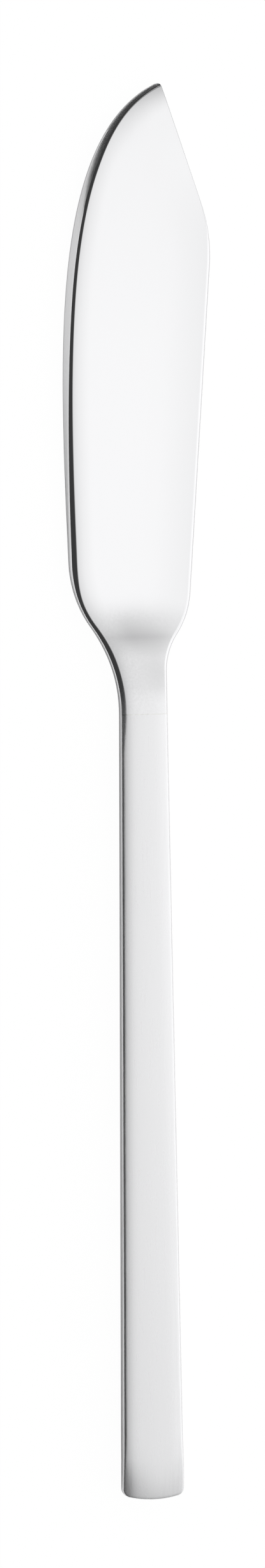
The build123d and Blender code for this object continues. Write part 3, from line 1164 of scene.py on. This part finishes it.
class FISHKNIFE_OT_stage(bpy.types.Operator):
    """Set up the floor, the light tent, the world and the camera"""

    bl_idname = "fish_knife.stage"
    bl_label = "Stage"

    def execute(self, context):
        scene = context.scene
        scene.view_settings.view_transform = "Standard"
        make_world(scene)
        make_floor(scene)
        make_tent(scene)
        make_camera(scene)
        return {"FINISHED"}


def seen_share(tree):
    """Return a node that gives 1 for the rays that show a surface: camera, glossy and transmission."""
    path = add_node(tree, "ShaderNodeLightPath")
    first = add_node(
        tree, "ShaderNodeMath", {"operation": "MAXIMUM"},
        input_0=(path, "Is Camera Ray"), input_1=(path, "Is Glossy Ray"))
    return add_node(
        tree, "ShaderNodeMath", {"operation": "MAXIMUM"},
        input_0=first, input_1=(path, "Is Transmission Ray"))


def make_world(scene):
    """Give the scene a white surround that lights the floor softly.

    That light comes mostly from the back's side, so the knife's shade lies along the curved edge.
    """
    world = bpy.data.worlds.new("white_studio")
    world.use_nodes = True
    tree = world.node_tree
    tree.nodes.clear()
    place = add_node(tree, "ShaderNodeTexCoord")
    parts = add_node(tree, "ShaderNodeSeparateXYZ", None, Vector=(place, "Generated"))
    light_side = add_node(
        tree, "ShaderNodeMapRange",
        {"From Min": -0.6, "From Max": 0.6, "To Min": 0.0, "To Max": 2.35}, Value=(parts, "X"))
    strength = add_node(
        tree, "ShaderNodeMix", {"data_type": "FLOAT", "B": 1.0}, Factor=seen_share(tree), A=light_side)
    light = add_node(tree, "ShaderNodeBackground", {"Color": linear("FFFFFF")}, Strength=strength)
    add_node(tree, "ShaderNodeOutputWorld", None, Surface=light)
    scene.world = world


def paper_white_matt(tree):
    """White paper, which is white to the camera. In the steel it also shows the shade close to the knife."""
    glow = add_node(tree, "ShaderNodeEmission", {"Color": linear("FFFFFF"), "Strength": 1.0})
    matt = add_node(tree, "ShaderNodeBsdfDiffuse", {"Color": linear("F4F4F4")})
    path = add_node(tree, "ShaderNodeLightPath")
    share = add_node(
        tree, "ShaderNodeMapRange", {"To Min": 0.05, "To Max": 0.98}, Value=(path, "Is Camera Ray"))
    share = add_node(
        tree, "ShaderNodeMath", {"operation": "MULTIPLY"}, input_0=share, input_1=seen_share(tree))
    return add_node(tree, "ShaderNodeMixShader", None, input_0=share, input_1=matt, input_2=glow)


def make_floor(scene):
    """Lay a white floor just under the knife, which keeps a pale shadow."""
    half = scene.fish_knife_studio.floor_half
    depth = -0.02 * MM
    corners = [(x * half, y * half, depth) for x, y in ((-1, -1), (1, -1), (1, 1), (-1, 1))]
    mesh = bpy.data.meshes.new("floor")
    mesh.from_pydata(corners, [], [(0, 1, 2, 3)])
    mesh.materials.append(finish_of(paper_white_matt))
    floor = bpy.data.objects.new("floor", mesh)
    scene.collection.objects.link(floor)


def tent_cloth_white_and_black(tree):
    """Glowing cloth, white above and towards the back's side, and dark towards the edge's side."""
    studio = bpy.context.scene.fish_knife_studio
    place = add_node(tree, "ShaderNodeTexCoord")
    parts = add_node(tree, "ShaderNodeSeparateXYZ", None, Vector=(place, "Object"))

    # The brightness goes by the angle from overhead, to the back's side and to the tip.
    ramps = []
    for axis, stops in (
        ("X", [
            (-90, 0.042), (-11, 0.042), (-2, 0.55), (6, 0.91), (11, 1.0),
            (14, 0.99), (19, 0.92), (26, 0.98), (60, 1.06)]),
        ("Y", [
            (-90, 0.6), (-65, 0.35), (-45, 0.3), (-25, 0.7), (-16, 0.85), (-11.5, 0.88),
            (-9, 0.95), (-7, 0.99), (1, 1.0), (4.5, 0.965), (6, 0.8), (8, 0.5),
            (10, 0.3), (14, 0.2), (22, 0.3), (45, 0.85), (90, 0.9)]),
    ):
        turn = add_node(
            tree, "ShaderNodeMath", {"operation": "ARCTAN2"}, input_0=(parts, axis), input_1=(parts, "Z"))
        share = add_node(
            tree, "ShaderNodeMapRange", {"From Min": -math.pi / 2, "From Max": math.pi / 2}, Value=turn)
        ramps.append(add_node(tree, "ShaderNodeValToRGB", None, Fac=share))
        set_ramp(ramps[-1], stops)
    side, ahead = ramps

    # The change towards tip and butt is only in a broad strip above the back. Both sides of it are even.
    strip_middle, strip_half, strip_end = (share * studio.tent_radius for share in (0.33, 0.25, 0.55))
    from_strip = add_node(
        tree, "ShaderNodeMath", {"operation": "SUBTRACT", 1: strip_middle}, input_0=(parts, "X"))
    off_strip = add_node(tree, "ShaderNodeMath", {"operation": "ABSOLUTE"}, input_0=from_strip)
    sides = add_node(
        tree, "ShaderNodeMapRange",
        {"interpolation_type": "SMOOTHSTEP", "From Min": strip_half, "From Max": strip_end}, Value=off_strip)
    along = add_node(tree, "ShaderNodeMix", {"data_type": "FLOAT", "B": 1.0}, Factor=sides, A=ahead)
    bright = add_node(
        tree, "ShaderNodeMath", {"operation": "MULTIPLY", 1: studio.tent_light}, input_0=along)
    return add_node(tree, "ShaderNodeEmission", None, Color=side, Strength=bright)


def make_tent(scene):
    """Put up a light tent over the knife that only reflections see."""
    mesh = bpy.data.meshes.new("light_tent")
    work = bmesh.new()
    bmesh.ops.create_uvsphere(
        work, u_segments=96, v_segments=48, radius=scene.fish_knife_studio.tent_radius)
    below = [vertex for vertex in work.verts if vertex.co.z < -MM]
    bmesh.ops.delete(work, geom=below, context="VERTS")
    work.to_mesh(mesh)
    work.free()
    cloth = finish_of(tent_cloth_white_and_black)
    cloth.cycles.emission_sampling = "NONE"
    mesh.materials.append(cloth)
    tent = bpy.data.objects.new("light_tent", mesh)
    tent.location = (0, (BUTT_Y + TIP_Y) / 2, 0)
    scene.collection.objects.link(tent)
    tent.visible_camera = False
    tent.visible_diffuse = False
    tent.visible_shadow = False


def set_ramp(node, stops):
    """Set a ramp's grey stops, each an angle from -90 to 90 degrees and a brightness."""
    ramp = node.color_ramp
    while len(ramp.elements) < len(stops):
        ramp.elements.new(0.5)
    for element, (degrees, brightness) in zip(ramp.elements, stops):
        element.position = (degrees + 90) / 180
        element.color = (brightness, brightness, brightness, 1.0)


def make_camera(scene):
    """Set the camera over the knife, leaning to the curved edge and the tip, as the photograph was taken."""
    studio = scene.fish_knife_studio
    aim = Vector((-studio.aim_side, studio.aim_y, NECK_TOP / 2))
    back = Vector((-math.tan(studio.lean_side), math.tan(studio.lean_tip), 1)).normalized()
    along = Vector((0, 1, 0))
    level = (along - back * along.dot(back)).normalized()
    right = level.cross(back)
    up = level * math.cos(studio.turn) + right * math.sin(studio.turn)
    right = up.cross(back)
    lens = bpy.data.cameras.new("camera")
    lens.sensor_width = 36.0
    lens.lens = lens.sensor_width * studio.distance / studio.view_height
    lens.clip_start = 0.05
    lens.clip_end = 50
    camera = bpy.data.objects.new("camera", lens)
    camera.matrix_world = Matrix((right, up, back)).transposed().to_4x4()
    camera.location = aim + back * studio.distance
    scene.collection.objects.link(camera)
    scene.camera = camera


class FISHKNIFE_PT_panel(bpy.types.Panel):
    """The pieces of the fish knife, one button each"""

    bl_idname = "FISHKNIFE_PT_panel"
    bl_label = "Fish knife"
    bl_space_type = "VIEW_3D"
    bl_region_type = "UI"
    bl_category = "Fish knife"

    def draw(self, context):
        for operator in PIECES:
            self.layout.operator(operator.bl_idname)


PIECES = (
    FISHKNIFE_OT_blade,
    FISHKNIFE_OT_tang,
    FISHKNIFE_OT_handle,
    FISHKNIFE_OT_braze,
    FISHKNIFE_OT_filler,
    FISHKNIFE_OT_stage,
)
GROUPS = {
    "fish_knife_blade": BladeSizes,
    "fish_knife_handle": HandleSizes,
    "fish_knife_tang": TangSizes,
    "fish_knife_colours": FinishColours,
    "fish_knife_studio": StudioSizes,
}


def register():
    """Register the property groups, operators and panel."""
    for name, group in GROUPS.items():
        bpy.utils.register_class(group)
        setattr(bpy.types.Scene, name, PointerProperty(type=group))
    for piece in PIECES:
        bpy.utils.register_class(piece)
    bpy.utils.register_class(FISHKNIFE_PT_panel)


def unregister():
    """Take all of it out again."""
    bpy.utils.unregister_class(FISHKNIFE_PT_panel)
    for piece in reversed(PIECES):
        bpy.utils.unregister_class(piece)
    for name, group in GROUPS.items():
        delattr(bpy.types.Scene, name)
        bpy.utils.unregister_class(group)


def main():
    """Build every piece and the stage."""
    register()
    bpy.ops.fish_knife.blade()
    bpy.ops.fish_knife.tang()
    bpy.ops.fish_knife.handle()
    bpy.ops.fish_knife.braze()
    bpy.ops.fish_knife.filler()
    bpy.ops.fish_knife.stage()


if __name__ == "__main__":
    main()
